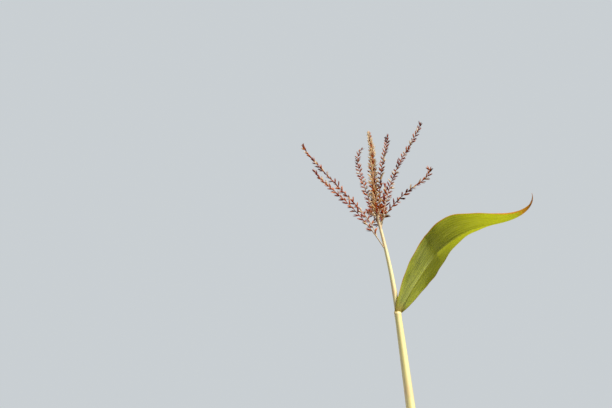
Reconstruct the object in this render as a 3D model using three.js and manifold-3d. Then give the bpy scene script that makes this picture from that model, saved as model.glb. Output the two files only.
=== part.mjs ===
// A whole maize plant, from the flat cut at ground level to the tip of its tassel.
// Millimetres and degrees, +Z up, origin in the middle of the flat cut under the stalk.
// The stalk carries eleven leaves in two ranks, one ear, two whorls of brace roots and a branched tassel.
import * as THREE from "three";
import { mergeVertices } from "three/addons/utils/BufferGeometryUtils.js";
import Module from "manifold-3d";

const wasm = await Module();
wasm.setup();

// Stalk
const PLANT_HEIGHT = 2200;
const NECK_HEIGHT = 1833; // where the stalk becomes the tassel's own axis
const FOOT_RADIUS = 13;
const NECK_RADIUS = 3.7;
const STALK_TAPER = 1.9;
const BOW = 20; // sideways bow of the top, towards -X
const BOW_HEIGHT = 1925;
const BOW_BELOW = 165;
const BOW_ABOVE = 250;
const STALK_SIDES = 10;
const CLEARANCE = 0.3;

// Leaves, counted from the ground up. The last one is the flag leaf.
const LEAF_COUNT = 11;
const FIRST_JOINT = 115;
const FLAG_JOINT = 1315;
const FLAG_COLLAR = 1607;
const JOINT_SPACING_POWER = 1.12;
const BARE_STALK = 14; // stalk that shows between a collar and the joint above it
const BARE_STALK_AT_EAR = 42;
const SHEATH_WALL = 1.4;
const SHEATH_FLARE = 0.8;
const LONGEST_LEAF = 830;
const WIDEST_LEAF = 92;
const FLAG_AZIMUTH = -5;
const RANK_DRIFT = 11; // each leaf's turn away from its rank
const LEAF_THICKNESS_SHARE = 0.01; // of its length, at the midrib's foot
const SPLIT_OVER = 560; // a leaf longer than this is split where it arches over
const SPLIT_SHARE = 0.46;
const EAR_LEAF = 5;
const LOW_RISE = { [EAR_LEAF]: 36, [LEAF_COUNT - 2]: 26 }; // leaves that set out lower than the rest

// Tassel
const SPIKELET_LENGTH = 14;
const SPIKELET_WIDTH = 4;
const SPIKELET_SPACING = 22;
const SPIKE_WHORL_SPACING = 14;
const TASSEL_BRANCHES = [
  {
    name: "lower_left", height: 1777, azimuth: 200,
    rise: 61, endRise: 18, power: 1.12, sweep: 10, hook: 38, length: 266,
  },
  {
    name: "left_fork", forkOf: 0, forkAt: 0.125, azimuth: 177,
    rise: 91, endRise: 13, power: 0.58, sweep: 60, hook: 0, length: 320,
  },
  {
    name: "inner_left", height: 1875, azimuth: 172,
    rise: 77, endRise: 91, power: 1.81, sweep: -13, hook: 44, length: 261,
  },
  {
    name: "inner_right", height: 1868, azimuth: -45,
    rise: 83, endRise: 61, power: 1.96, sweep: 13, hook: 27, length: 279,
  },
  {
    name: "upper_right", height: 1840, azimuth: -1,
    rise: 78, endRise: 40, power: 1.56, sweep: -31, hook: 30, length: 379,
  },
  {
    name: "lower_right", height: 1848, azimuth: -32,
    rise: 65, endRise: 9, power: 0.63, sweep: 3, hook: 102, length: 202,
  },
  {
    name: "back_right", height: 1852, azimuth: 66,
    rise: 48, endRise: 82, power: 0.82, sweep: -15, hook: 0, length: 234,
  },
  {
    name: "back_left", height: 1836, azimuth: 110,
    rise: 80, endRise: 37, power: 0.69, sweep: -24, hook: 0, length: 170,
  },
];

const radians = THREE.MathUtils.degToRad;
const mix = THREE.MathUtils.lerp;

// The same number from 0 to 1 for the same seed.
function seeded(seed) {
  const wave = Math.sin(seed * 12.9898) * 43758.5453;
  return wave - Math.floor(wave);
}

// The middle of the stalk and of the tassel's spike at a height.
function axisAt(height) {
  const spread = height < BOW_HEIGHT ? BOW_BELOW : BOW_ABOVE;
  const offset = (height - BOW_HEIGHT) / spread;
  return new THREE.Vector3(-BOW * Math.exp(-offset * offset), 0, height);
}

function stalkRadius(height) {
  const share = Math.min(1, height / NECK_HEIGHT);
  return FOOT_RADIUS - (FOOT_RADIUS - NECK_RADIUS) * Math.pow(share, STALK_TAPER);
}

function spikeRadius(height) {
  const share = (height - NECK_HEIGHT) / (PLANT_HEIGHT - NECK_HEIGHT);
  return mix(NECK_RADIUS, 1, share);
}

function jointHeight(leaf) {
  const share = Math.pow(leaf / (LEAF_COUNT - 1), JOINT_SPACING_POWER);
  return mix(FIRST_JOINT, FLAG_JOINT, share);
}

function collarHeight(leaf) {
  if (leaf === LEAF_COUNT - 1) return FLAG_COLLAR;
  return jointHeight(leaf + 1) - (leaf === EAR_LEAF ? BARE_STALK_AT_EAR : BARE_STALK);
}

function sheathRadius(height) {
  return stalkRadius(height) + CLEARANCE + SHEATH_WALL;
}

// A midrib, twig or root. It sets out at an azimuth and a rise above level, in degrees, and bends as it goes.
// hook is the extra rise that it gains from hookStart to its tip.
function arch(bend, steps = 24) {
  const { start, azimuth, rise, endRise, power = 1, sweep = 0, hook = 0, hookStart = 0.7, length } = bend;
  const directionAt = (share) => {
    const late = Math.max(0, (share - hookStart) / (1 - hookStart));
    const up = radians(mix(rise, endRise, Math.pow(share, power)) + hook * late * late);
    const heading = radians(azimuth + sweep * share);
    const along = new THREE.Vector3(
      Math.cos(up) * Math.cos(heading),
      Math.cos(up) * Math.sin(heading),
      Math.sin(up),
    );
    const side = new THREE.Vector3(Math.sin(heading), -Math.cos(heading), 0);
    return { along, side, above: side.clone().cross(along) };
  };
  const points = [start.clone()];
  for (let step = 0; step < steps; step += 1) {
    const { along } = directionAt((step + 0.5) / steps);
    points.push(points[step].clone().addScaledVector(along, length / steps));
  }
  return (share) => {
    const place = Math.min(share * steps, steps - 1e-6);
    const step = Math.floor(place);
    const point = points[step].clone().lerp(points[step + 1], place - step);
    return { point, ...directionAt(share) };
  };
}

// Moves every corner of a geometry to where the function puts it.
function reshape(geometry, placeOf) {
  const corners = geometry.getAttribute("position");
  const corner = new THREE.Vector3();
  for (let i = 0; i < corners.count; i += 1) {
    corner.fromBufferAttribute(corners, i);
    const placed = placeOf(corner);
    corners.setXYZ(i, placed.x, placed.y, placed.z);
  }
  return geometry;
}

// A closed geometry as a solid that can be joined and cut. Faces that have shrunk to a line are dropped.
function solidOf(geometry) {
  const bare = geometry.clone();
  bare.deleteAttribute("normal");
  bare.deleteAttribute("uv");
  const merged = mergeVertices(bare, 1e-4);
  const faces = [];
  const index = merged.index.array;
  for (let i = 0; i < index.length; i += 3) {
    const [a, b, c] = [index[i], index[i + 1], index[i + 2]];
    if (a !== b && b !== c && c !== a) faces.push(a, b, c);
  }
  const vertProperties = new Float32Array(merged.getAttribute("position").array);
  const made = new wasm.Manifold(
    new wasm.Mesh({ numProp: 3, vertProperties, triVerts: new Uint32Array(faces) }),
  );
  if (made.volume() >= 0) return made;
  for (let i = 0; i < faces.length; i += 3) [faces[i], faces[i + 1]] = [faces[i + 1], faces[i]];
  return new wasm.Manifold(
    new wasm.Mesh({ numProp: 3, vertProperties, triVerts: new Uint32Array(faces) }),
  );
}

// The largest body of a solid: a cut may leave loose scraps.
function largestBody(solid) {
  const bodies = solid.decompose().sort((a, b) => b.volume() - a.volume());
  return bodies[0];
}

function geometryOf(solid) {
  const { numProp, vertProperties, triVerts } = solid.getMesh();
  const positions = new Float32Array((vertProperties.length / numProp) * 3);
  for (let i = 0; i < positions.length / 3; i += 1) {
    positions.set(vertProperties.subarray(i * numProp, i * numProp + 3), i * 3);
  }
  const geometry = new THREE.BufferGeometry();
  geometry.setAttribute("position", new THREE.BufferAttribute(positions, 3));
  geometry.setIndex(new THREE.BufferAttribute(new Uint32Array(triVerts), 1));
  geometry.computeVertexNormals();
  return geometry;
}

// A round limb along a path, with a radius at each share of it.
function limb(pathAt, radiusAt, sides, steps) {
  const tube = new THREE.CylinderGeometry(1, 1, 1, sides, steps);
  return reshape(tube, (corner) => {
    const share = corner.y + 0.5;
    const { point, side, above } = pathAt(share);
    const radius = radiusAt(share);
    return point.addScaledVector(side, corner.x * radius).addScaledVector(above, corner.z * radius);
  });
}

// A solid turned round the plant's axis from [radius, height] points, then bent to follow the stalk.
function turned(profile, sides) {
  const points = profile.map(([radius, height]) => new THREE.Vector2(radius, height));
  const lathe = new THREE.LatheGeometry(points, sides);
  return reshape(lathe, (corner) => {
    const middle = axisAt(corner.y);
    return new THREE.Vector3(middle.x + corner.x, middle.y - corner.z, corner.y);
  });
}

// The stalk's outline from the ground up, with a swollen ring at each joint. grown widens it all over.
function stalkProfile(grown = 0) {
  const RING_HALF_HEIGHT = 4;
  const profile = [[0, 0], [stalkRadius(0) + grown, 0]];
  for (let leaf = 0; leaf < LEAF_COUNT; leaf += 1) {
    const joint = jointHeight(leaf);
    const foot = joint - 2 * RING_HALF_HEIGHT;
    profile.push([stalkRadius(foot) + grown, foot]);
    const ring = sheathRadius(joint) + grown;
    profile.push([ring, joint - RING_HALF_HEIGHT], [ring, joint]);
    profile.push([stalkRadius(joint) + grown, joint]);
  }
  const NECK_STEPS = 8;
  for (let step = 1; step <= NECK_STEPS; step += 1) {
    const height = mix(FLAG_JOINT, NECK_HEIGHT, step / NECK_STEPS);
    profile.push([stalkRadius(height) + grown, height]);
  }
  profile.push([0, NECK_HEIGHT]);
  return profile;
}

// The tube of a leaf's sheath, from just over its joint to its collar. grown widens it all over.
function sheath(leaf, grown = 0) {
  const foot = jointHeight(leaf) + CLEARANCE - grown;
  const collar = collarHeight(leaf) + grown;
  const inner = (height) => stalkRadius(height) + CLEARANCE;
  const outer = (height) => inner(height) + SHEATH_WALL + grown;
  const heights = [foot, mix(foot, collar, 0.5), collar - 12, collar];
  const flare = [0, 0, 0, SHEATH_FLARE];
  const outside = heights.map((height, i) => [outer(height) + flare[i], height]);
  const inside = heights.map((height) => [inner(height), height]).reverse();
  return turned([...outside, ...inside, outside[0]], STALK_SIDES);
}

// What each leaf measures, by its place on the stalk.
function leafSpec(leaf) {
  const below = LEAF_COUNT - 1 - leaf;
  const collar = collarHeight(leaf);
  if (below === 0) {
    return {
      collar, azimuth: FLAG_AZIMUTH, rise: 56, endRise: -90, power: 2.4, sweep: -24,
      hook: 170, hookStart: 0.63, length: 457, twist: 66, endTwist: -33, fold: 3, endFold: 29,
      width: 99, widest: 0.46, footWidth: 0.2, tipPower: 1.3, ruffle: 0, waves: 2, phase: 0, splitAt: null,
    };
  }
  const fromMiddle = (leaf - EAR_LEAF) / 5;
  const age = below / (LEAF_COUNT - 1);
  const length = LONGEST_LEAF * (1 - 0.4 * fromMiddle * fromMiddle);
  return {
    collar,
    azimuth: FLAG_AZIMUTH + 180 * below + RANK_DRIFT * below + 16 * (seeded(leaf + 1) - 0.5),
    rise: LOW_RISE[leaf] ?? mix(50, 62, seeded(leaf + 21)),
    endRise: below === 1 ? -50 : mix(-62, -80, seeded(leaf + 41)) - 6 * age,
    power: below === 1 ? 1 : mix(1.15, 1.6, seeded(leaf + 61)),
    sweep: 34 * (seeded(leaf + 81) - 0.5),
    hook: 0,
    length,
    twist: 14 * (seeded(leaf + 101) - 0.5),
    endTwist: 50 * (seeded(leaf + 121) - 0.5),
    fold: 34,
    endFold: 8,
    width: WIDEST_LEAF * (1 - 0.3 * Math.pow((leaf - 6) / 6, 2)),
    widest: 0.36,
    footWidth: 0.42,
    tipPower: 0.8,
    ruffle: 7,
    waves: 4 + Math.floor(2 * seeded(leaf + 141)),
    phase: 2 * Math.PI * seeded(leaf + 161),
    splitAt: length > SPLIT_OVER ? SPLIT_SHARE : null,
  };
}

function leafPath(spec) {
  const heading = radians(spec.azimuth - spec.twist);
  const out = sheathRadius(spec.collar) - SHEATH_WALL / 2;
  const start = axisAt(spec.collar);
  start.x += out * Math.cos(heading);
  start.y += out * Math.sin(heading);
  start.z += 1.5;
  return arch({ ...spec, start }, 32);
}

// Half the width of the blade at a share of its length.
function bladeHalfWidth(spec, share) {
  const TIP_SHARE = 0.02;
  let wide;
  if (share < spec.widest) {
    wide = spec.footWidth + (1 - spec.footWidth) * Math.sin((Math.PI / 2) * (share / spec.widest));
  } else {
    const late = (share - spec.widest) / (1 - spec.widest);
    wide = Math.cos((Math.PI / 2) * Math.pow(late, 1 / spec.tipPower));
  }
  return (spec.width / 2) * Math.max(wide, TIP_SHARE);
}

// A point of the blade: share runs from collar to tip, across from edge to edge as -1 to 1, and through from
// the underside to the upper side as -1 to 1.
function bladePoint(spec, pathAt, share, across, through) {
  const FLAT_FROM = 0.6; // the fold at the midrib has opened by here
  const EDGE_LAG = 1.9; // by which one edge's waves trail the other's
  const TIP_SLIMMING = 0.45;
  const EDGE_SLIMMING = 0.5;
  const { point, side, above } = pathAt(share);
  const twist = radians(mix(spec.twist, spec.endTwist, share));
  const level = side.clone().multiplyScalar(Math.cos(twist)).addScaledVector(above, Math.sin(twist));
  const face = above.clone().multiplyScalar(Math.cos(twist)).addScaledVector(side, -Math.sin(twist));
  const fold = radians(mix(spec.fold, spec.endFold, Math.min(1, share / FLAT_FROM)));
  const half = bladeHalfWidth(spec, share);
  const edge = Math.abs(across);
  const swell = Math.sin(Math.PI * Math.min(1, share * 1.25));
  const wave = Math.sin(2 * Math.PI * spec.waves * share + spec.phase + (across > 0 ? EDGE_LAG : 0));
  const lift = half * Math.sin(fold) * edge + spec.ruffle * swell * edge * edge * wave;
  const slimming = mix(1, TIP_SLIMMING, share) * mix(1, EDGE_SLIMMING, edge);
  const thick = (spec.length * LEAF_THICKNESS_SHARE * slimming) / 2;
  return point
    .addScaledVector(level, across * half * Math.cos(fold))
    .addScaledVector(face, lift + through * thick);
}

// A stretch of a leaf's blade as a closed sheet, thick at the midrib and thin at its edges.
function blade(spec, fromShare, toShare, steps) {
  const pathAt = leafPath(spec);
  const sheet = new THREE.BoxGeometry(2, 1, 2, 4, steps, 1);
  return reshape(sheet, (corner) =>
    bladePoint(spec, pathAt, mix(fromShare, toShare, corner.y + 0.5), corner.x, corner.z),
  );
}

// One spikelet: a slim eight-faced spindle whose foot is sunk in its twig.
function spikelet(foot, direction, scale = 1) {
  const spindle = new THREE.OctahedronGeometry(1);
  spindle.scale((SPIKELET_WIDTH / 2) * scale, (SPIKELET_LENGTH / 2) * scale, (SPIKELET_WIDTH / 2) * scale);
  const turn = new THREE.Quaternion().setFromUnitVectors(new THREE.Vector3(0, 1, 0), direction);
  const middle = foot.clone().addScaledVector(direction, SPIKELET_LENGTH * 0.36);
  spindle.applyMatrix4(new THREE.Matrix4().compose(middle, turn, new THREE.Vector3(1, 1, 1)));
  return solidOf(spindle);
}

// Adds the spikelets that keep clear of everything in others.
function withSpikelets(twig, places, others) {
  const ROOM = 1.3;
  let made = twig;
  for (const { foot, direction } of places) {
    const reach = spikelet(foot, direction, ROOM);
    if (others.every((other) => reach.intersect(other).volume() < 1e-6)) {
      made = made.add(spikelet(foot, direction));
    }
  }
  return largestBody(made);
}

function branchPath(branch, paths) {
  const spec = { ...branch };
  if (branch.forkOf === undefined) {
    const heading = radians(branch.azimuth);
    const out = (branch.height > NECK_HEIGHT ? spikeRadius : stalkRadius)(branch.height);
    spec.start = axisAt(branch.height);
    spec.start.x += (out - 0.2) * Math.cos(heading);
    spec.start.y += (out - 0.2) * Math.sin(heading);
  } else {
    spec.start = paths[branch.forkOf](branch.forkAt).point;
  }
  return arch(spec, 24);
}

// Where a branch's spikelets stand: in pairs on its two flanks, from its bare foot to its tip.
function branchSpikelets(branch, pathAt, seed) {
  const BARE_FOOT = 0.16;
  const count = Math.round((branch.length * (1 - BARE_FOOT)) / SPIKELET_SPACING);
  const places = [];
  for (let i = 0; i < count; i += 1) {
    for (const flank of [-1, 1]) {
      const share = mix(BARE_FOOT, 0.985, (i + (flank + 1) / 4) / count);
      const { point, along, side, above } = pathAt(share);
      const roll = radians(50 * (seeded(seed + i * 2 + flank) - 0.5));
      const lean = radians(mix(42, 16, share) + 16 * (seeded(seed + i * 3 + flank + 7) - 0.5));
      const outward = side.multiplyScalar(flank * Math.cos(roll)).addScaledVector(above, Math.sin(roll));
      const direction = along.multiplyScalar(Math.cos(lean)).addScaledVector(outward, Math.sin(lean));
      places.push({ foot: point, direction: direction.normalize() });
    }
  }
  return places;
}

// Where the spike's spikelets stand: crowded whorls all the way up, each turned a little on the last.
function spikeSpikelets() {
  const WHORL = 3;
  const lowest = NECK_HEIGHT + 62;
  const highest = PLANT_HEIGHT - 6 - SPIKELET_LENGTH * 0.86;
  const rows = Math.round((highest - lowest) / SPIKE_WHORL_SPACING);
  const places = [];
  for (let row = 0; row < rows; row += 1) {
    for (let i = 0; i < WHORL; i += 1) {
      const share = row / (rows - 1);
      const height = mix(lowest, highest, share);
      const around = radians((360 / WHORL) * i + 47 * row + 30 * (seeded(row * 5 + i) - 0.5));
      const lean = radians(mix(46, 12, share * share));
      const outward = new THREE.Vector3(Math.cos(around), Math.sin(around), 0);
      const direction = outward.clone().multiplyScalar(Math.sin(lean)).setZ(Math.cos(lean));
      const foot = axisAt(height).addScaledVector(outward, spikeRadius(height) * 0.6);
      places.push({ foot, direction });
    }
  }
  return places;
}

// The ear: a husk on a short shank in a leaf's axil, with a tuft of silk out of its tip.
const EAR = { length: 215, radius: 25, lift: 22, rise: 75, shank: 26 };

function earPath() {
  const { azimuth, collar } = leafSpec(EAR_LEAF);
  const heading = radians(azimuth);
  const height = collar + EAR.lift;
  const start = axisAt(height);
  const out = stalkRadius(height) + CLEARANCE;
  start.x += out * Math.cos(heading);
  start.y += out * Math.sin(heading);
  const span = EAR.shank + EAR.length;
  return {
    span,
    pathAt: arch({ start, azimuth, rise: 44, endRise: EAR.rise, power: 0.3, length: span }, 32),
  };
}

// The husk's outline: a blunt foot, a full belly and a drawn-out tip.
function huskRadius(share) {
  return EAR.radius * Math.pow(Math.sin(Math.PI * Math.pow(mix(0.045, 0.965, share), 0.72)), 0.75);
}

function earHusk() {
  const { span, pathAt } = earPath();
  const from = (EAR.shank + CLEARANCE) / span;
  return limb((share) => pathAt(mix(from, 1, share)), huskRadius, 10, 10);
}

function earShank() {
  const { span, pathAt } = earPath();
  const SHANK_RADIUS = 7;
  return limb((share) => pathAt((share * EAR.shank) / span), () => SHANK_RADIUS, 8, 3);
}

function earSilk() {
  const STRANDS = 7;
  const { pathAt } = earPath();
  const { point, along } = pathAt(1);
  const start = point.clone().addScaledVector(along, CLEARANCE);
  const heading = leafSpec(EAR_LEAF).azimuth;
  const bundle = arch({ start, azimuth: heading, rise: EAR.rise, endRise: 55, length: 22 }, 6);
  let silk = solidOf(limb(bundle, (share) => mix(3.2, 4.6, share), 6, 2));
  const from = bundle(0.55).point;
  for (let i = 0; i < STRANDS; i += 1) {
    const strand = arch({
      start: from,
      azimuth: heading + (360 / STRANDS) * i + 25 * (seeded(i + 200) - 0.5),
      rise: mix(58, 76, seeded(i + 220)),
      endRise: mix(-75, -40, seeded(i + 240)),
      power: 0.8,
      length: mix(42, 64, seeded(i + 260)),
    }, 12);
    silk = silk.add(solidOf(limb(strand, (share) => mix(1.9, 1.1, share), 3, 4)));
  }
  return largestBody(silk);
}

// A whorl of brace roots: a ring round a low joint, and roots that arch out and down to the ground.
function braceRoots({ height, count, reach, radius, turn }) {
  const RING_HEIGHT = 9;
  const inner = (z) => stalkRadius(z) + CLEARANCE;
  const top = height + RING_HEIGHT;
  let whorl = solidOf(turned(
    [[inner(height) + 2.2, height], [inner(height) + 3.4, height + RING_HEIGHT / 2], [inner(top) + 1.8, top],
      [inner(top), top], [inner(height), height], [inner(height) + 2.2, height]],
    STALK_SIDES,
  ));
  for (let i = 0; i < count; i += 1) {
    const azimuth = turn + (360 / count) * i + 12 * (seeded(height + i) - 0.5);
    const start = axisAt(height + RING_HEIGHT / 2);
    const out = inner(height) + 2;
    start.x += out * Math.cos(radians(azimuth));
    start.y += out * Math.sin(radians(azimuth));
    const root = arch({ start, azimuth, rise: -8, endRise: -82, power: 0.8, length: reach }, 10);
    whorl = whorl.add(solidOf(limb(root, (share) => mix(radius, radius * 0.75, share), 4, 4)));
  }
  const BELOW = 200;
  const ground = new THREE.BoxGeometry(2000, 2000, BELOW).translate(0, 0, -BELOW / 2);
  return largestBody(whorl.subtract(solidOf(ground)).subtract(stalkRoom));
}

const stalkRoom = solidOf(turned(stalkProfile(CLEARANCE), STALK_SIDES));

const colours = {
  stalk: [0xdccb86, 0.5],
  sheath: [0xd6cf84, 0.55],
  leaf: [0x6f8f2a, 0.5],
  spike: [0xc98f52, 0.8],
  branch: [0x9a4a22, 0.8],
  husk: [0xb9bf62, 0.6],
  silk: [0x5a2c16, 0.8],
  root: [0x9c8a52, 0.7],
};

const plant = new THREE.Group();

function addPiece(name, geometry, kind) {
  const [color, roughness] = colours[kind];
  const material = new THREE.MeshStandardMaterial({ color, roughness, metalness: 0 });
  const mesh = new THREE.Mesh(geometry, material);
  mesh.name = name;
  plant.add(mesh);
}

function leafName(leaf) {
  return leaf === LEAF_COUNT - 1 ? "flag_leaf" : "leaf_" + String(leaf + 1).padStart(2, "0");
}

function addStalk() {
  addPiece("stalk", geometryOf(solidOf(turned(stalkProfile(), STALK_SIDES))), "stalk");
}

function addLeaves() {
  let room = stalkRoom.add(solidOf(earHusk())).add(solidOf(earShank()));
  for (let leaf = 0; leaf < LEAF_COUNT; leaf += 1) room = room.add(solidOf(sheath(leaf, CLEARANCE)));
  for (let leaf = 0; leaf < LEAF_COUNT; leaf += 1) {
    const name = leafName(leaf);
    const spec = leafSpec(leaf);
    addPiece(name + "_sheath", geometryOf(solidOf(sheath(leaf))), "sheath");
    const cleared = (from, to, steps) =>
      geometryOf(largestBody(solidOf(blade(spec, from, to, steps)).subtract(room)));
    if (spec.splitAt === null) {
      addPiece(name + "_blade", cleared(0, 1, 14), "leaf");
    } else {
      const gap = CLEARANCE / 2 / spec.length;
      addPiece(name + "_base", cleared(0, spec.splitAt - gap, 7), "leaf");
      addPiece(name + "_tip", cleared(spec.splitAt + gap, 1, 9), "leaf");
    }
  }
}

function addEar() {
  addPiece("ear_shank", geometryOf(solidOf(earShank()).subtract(stalkRoom)), "husk");
  addPiece("ear_husk", geometryOf(solidOf(earHusk())), "husk");
  addPiece("ear_silk", geometryOf(earSilk()), "silk");
}

function addBraceRoots() {
  const whorls = [
    { name: "brace_roots_lower", height: 30, count: 8, reach: 62, radius: 2.6, turn: 0 },
    { name: "brace_roots_upper", height: 82, count: 7, reach: 128, radius: 2.9, turn: 20 },
  ];
  for (const whorl of whorls) addPiece(whorl.name, geometryOf(braceRoots(whorl)), "root");
}

function addTassel() {
  const TWIG_RADIUS = 1.5;
  const TWIG_TIP_RADIUS = 0.8;
  const spikeAt = (share) => {
    const height = mix(NECK_HEIGHT + CLEARANCE, PLANT_HEIGHT, share);
    const side = new THREE.Vector3(1, 0, 0);
    return { point: axisAt(height), side, above: new THREE.Vector3(0, 1, 0), height };
  };
  const spikeLimb = (grown) =>
    solidOf(limb(spikeAt, (share) => spikeRadius(spikeAt(share).height) + grown, 6, 12));
  const spike = spikeLimb(0);
  const axisRoom = spikeLimb(CLEARANCE).add(stalkRoom);
  const paths = [];
  const twigs = [];
  for (const branch of TASSEL_BRANCHES) {
    const pathAt = branchPath(branch, paths);
    paths.push(pathAt);
    const twigLimb = (grown) =>
      solidOf(limb(pathAt, (share) => mix(TWIG_RADIUS, TWIG_TIP_RADIUS, share) + grown, 4, 12));
    const parent = branch.forkOf === undefined ? null : twigs[branch.forkOf].room;
    const cut = twigLimb(0).subtract(axisRoom);
    twigs.push({ twig: largestBody(parent ? cut.subtract(parent) : cut), room: twigLimb(CLEARANCE) });
  }
  const done = twigs.map(({ twig }) => twig);
  const spikeDone = withSpikelets(spike, spikeSpikelets(), done);
  addPiece("tassel_spike", geometryOf(spikeDone), "spike");
  TASSEL_BRANCHES.forEach((branch, i) => {
    const places = branchSpikelets(branch, paths[i], 300 + 40 * i);
    const others = [spikeDone, stalkRoom, ...done.filter((_, k) => k !== i)];
    done[i] = withSpikelets(done[i], places, others);
    addPiece("tassel_branch_" + branch.name, geometryOf(done[i]), "branch");
  });
}

addStalk();
addLeaves();
addEar();
addBraceRoots();
addTassel();

export default plant;
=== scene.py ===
# %% [markdown]
# This lesson dresses a whole maize plant, 2.2 m tall, that has begun to ripen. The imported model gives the
# frame: a jointed stalk, eleven leaves with their sheaths, an ear, brace roots and a tassel. Its leaves
# are thick and its twigs carry few spikelets, so that it stays simple. Here each of those is grown again
# by the same rule, finer and thinner, and given its finish. Everything is in metres, with the stalk's
# foot at the origin and +Z up.

import math

import bpy
import numpy as np
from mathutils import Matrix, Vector


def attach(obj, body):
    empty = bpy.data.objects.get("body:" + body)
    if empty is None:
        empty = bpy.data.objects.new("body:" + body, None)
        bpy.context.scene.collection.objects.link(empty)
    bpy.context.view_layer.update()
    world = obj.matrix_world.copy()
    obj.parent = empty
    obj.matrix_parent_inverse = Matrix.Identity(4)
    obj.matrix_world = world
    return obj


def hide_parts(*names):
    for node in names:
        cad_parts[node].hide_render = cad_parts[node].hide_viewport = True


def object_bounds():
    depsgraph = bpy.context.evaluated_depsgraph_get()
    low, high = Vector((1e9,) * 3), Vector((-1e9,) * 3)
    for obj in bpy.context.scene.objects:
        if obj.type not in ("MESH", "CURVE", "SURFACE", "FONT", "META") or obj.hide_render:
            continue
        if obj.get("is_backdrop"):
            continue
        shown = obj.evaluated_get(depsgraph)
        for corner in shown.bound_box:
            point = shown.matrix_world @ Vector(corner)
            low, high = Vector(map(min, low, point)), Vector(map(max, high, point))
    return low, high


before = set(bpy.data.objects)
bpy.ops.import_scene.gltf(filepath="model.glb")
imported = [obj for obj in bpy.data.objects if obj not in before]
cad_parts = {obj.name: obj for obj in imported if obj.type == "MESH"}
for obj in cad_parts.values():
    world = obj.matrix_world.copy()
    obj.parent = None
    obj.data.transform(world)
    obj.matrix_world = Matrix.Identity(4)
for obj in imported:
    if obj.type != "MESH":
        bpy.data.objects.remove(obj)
cad_low, cad_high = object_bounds()
bpy.ops.object.select_all(action="DESELECT")
print("frame", len(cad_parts), "nodes, height", round(cad_high[2], 3))

# %% [markdown]
# The plant's driving sizes come first. They are the real sizes of its stalk, leaves and tassel, and every
# place below is worked out from them by a rule. A small seeded number stands in for chance, so that each
# run grows the same plant.

# %% Driving sizes
PLANT_HEIGHT = 2.200
NECK_HEIGHT = 1.833  # where the stalk becomes the tassel's own axis
FOOT_RADIUS = 0.0130
NECK_RADIUS, SPIKE_TIP_RADIUS = 0.0037, 0.001
STALK_TAPER = 1.9
# how far the top bows, at which height, and how soon the bow fades below and above it
BOW, BOW_HEIGHT, BOW_BELOW, BOW_ABOVE = 0.020, 1.925, 0.165, 0.250
CLEARANCE = 0.0003  # between two parts that touch

LEAF_COUNT = 11
FIRST_JOINT, FLAG_JOINT, FLAG_COLLAR = 0.115, 1.315, 1.607
JOINT_SPACING_POWER = 1.12
BARE_STALK, BARE_STALK_AT_EAR = 0.014, 0.042  # from a collar to the next joint
SHEATH_WALL = 0.0014
LONGEST_LEAF, WIDEST_LEAF = 0.830, 0.092
FLAG_AZIMUTH, RANK_DRIFT = -5, 11
EAR_LEAF = 5
LOW_RISE = {EAR_LEAF: 36, LEAF_COUNT - 2: 26}  # leaves that set out lower than the rest, in degrees


def seeded(seed):
    """The same number from 0 to 1 for the same seed, or for each of an array of seeds."""
    wave = np.sin(np.asarray(seed, float) * 12.9898) * 43758.5453
    return wave - np.floor(wave)


def mix(start, end, share):
    return start + (end - start) * share


def smooth(low, high, value):
    """From 0 at low to 1 at high, with soft ends."""
    share = np.clip((np.asarray(value, float) - low) / (high - low), 0, 1)
    return share * share * (3 - 2 * share)


def swell(value, amount, middle, reach, power=2):
    """A soft hump of the given amount round the middle. A power of 4 makes it a flatter ring."""
    return amount * np.exp(-(((value - middle) / reach) ** power))


print("plant", PLANT_HEIGHT, "m tall, with", LEAF_COUNT, "leaves")


# %% [markdown]
# The stalk is nearly straight, and its top bows sideways under the tassel. It tapers slowly at first and
# then quickly. A leaf grows from each joint: its sheath hugs the stalk up to the collar, just below the
# next joint.

# %% The stalk's line, thickness and joints
def axis_at(height):
    """The middle of the stalk and of the tassel's spike at each height."""
    height = np.asarray(height, float)
    spread = np.where(height < BOW_HEIGHT, BOW_BELOW, BOW_ABOVE)
    offset = (height - BOW_HEIGHT) / spread
    return np.stack([-BOW * np.exp(-offset * offset), 0 * height, height], -1)


def stalk_radius(height):
    share = np.clip(np.asarray(height, float) / NECK_HEIGHT, 0, 1)
    return FOOT_RADIUS - (FOOT_RADIUS - NECK_RADIUS) * share**STALK_TAPER


def spike_radius(height):
    return mix(NECK_RADIUS, SPIKE_TIP_RADIUS, (height - NECK_HEIGHT) / (PLANT_HEIGHT - NECK_HEIGHT))


def joint_height(leaf):
    return mix(FIRST_JOINT, FLAG_JOINT, (leaf / (LEAF_COUNT - 1)) ** JOINT_SPACING_POWER)


def collar_height(leaf):
    if leaf == LEAF_COUNT - 1:
        return FLAG_COLLAR
    return joint_height(leaf + 1) - (BARE_STALK_AT_EAR if leaf == EAR_LEAF else BARE_STALK)


def sheath_radius(height):
    return stalk_radius(height) + CLEARANCE + SHEATH_WALL


def round_axis(height, angle, radius):
    """The place at an angle and a distance from the stalk's middle."""
    around = np.stack([np.cos(angle), np.sin(angle), 0 * angle], -1)
    return axis_at(height) + around * np.asarray(radius)[..., None]


print("joints at", [round(joint_height(leaf), 3) for leaf in range(LEAF_COUNT)])

# %% [markdown]
# Midribs, twigs, silk and roots all bend in the same way: they set out at some rise above level and arch
# over as they go. So one function holds that rule. It adds up many short straight steps, and gives back
# the place and the three directions at any share of the length: along the limb, to its side, and above
# it.

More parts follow.
